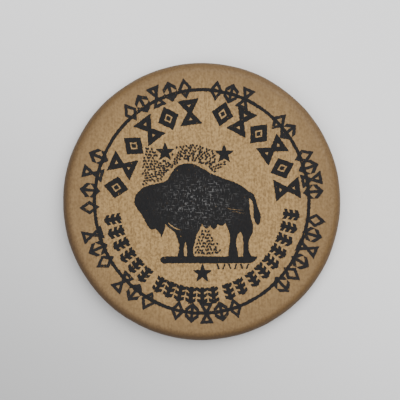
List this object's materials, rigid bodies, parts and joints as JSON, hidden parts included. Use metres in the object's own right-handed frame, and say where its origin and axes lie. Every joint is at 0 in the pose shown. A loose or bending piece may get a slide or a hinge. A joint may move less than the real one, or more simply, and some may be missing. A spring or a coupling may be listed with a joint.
{
  "type": "dealer button",
  "caption": "Round wooden token of three-ply veneer, printed on one face with a bison, a ring and bands of ornament, used as a dealer button or counter.",
  "frame": {"origin": "centre of the back face, on the surface that the token lies on", "axes": "+Z out of the printed face, +Y towards the top of the picture, +X to its right"},
  "size_m": [0.0381, 0.038, 0.0033],
  "materials": {
    "face_veneer": "bare hardwood veneer, tumbled smooth, edges darkened by handling",
    "core_veneer": "bare hardwood veneer, grain across the faces",
    "glue": "dark cured adhesive, seen only as a hairline at the edge",
    "print_ink": "black ink soaked into the grain, worn in flecks",
    "stamp_ink": "black ink from a rubber stamp, thin and uneven"
  },
  "bodies": {
    "root": {"back_veneer": "face_veneer", "back_glue_line": "glue", "core_veneer": "core_veneer", "front_glue_line": "glue", "front_veneer": "face_veneer", "print_ring": "print_ink", "print_upper_band": "print_ink", "print_lower_band": "print_ink", "print_stars": "print_ink", "print_bison": "print_ink", "print_ground": "print_ink", "print_grass": "print_ink", "stamp_upper_frieze": "stamp_ink", "stamp_lower_frieze": "stamp_ink", "stamp_ribbon": "stamp_ink"}
  },
  "joints": []
}
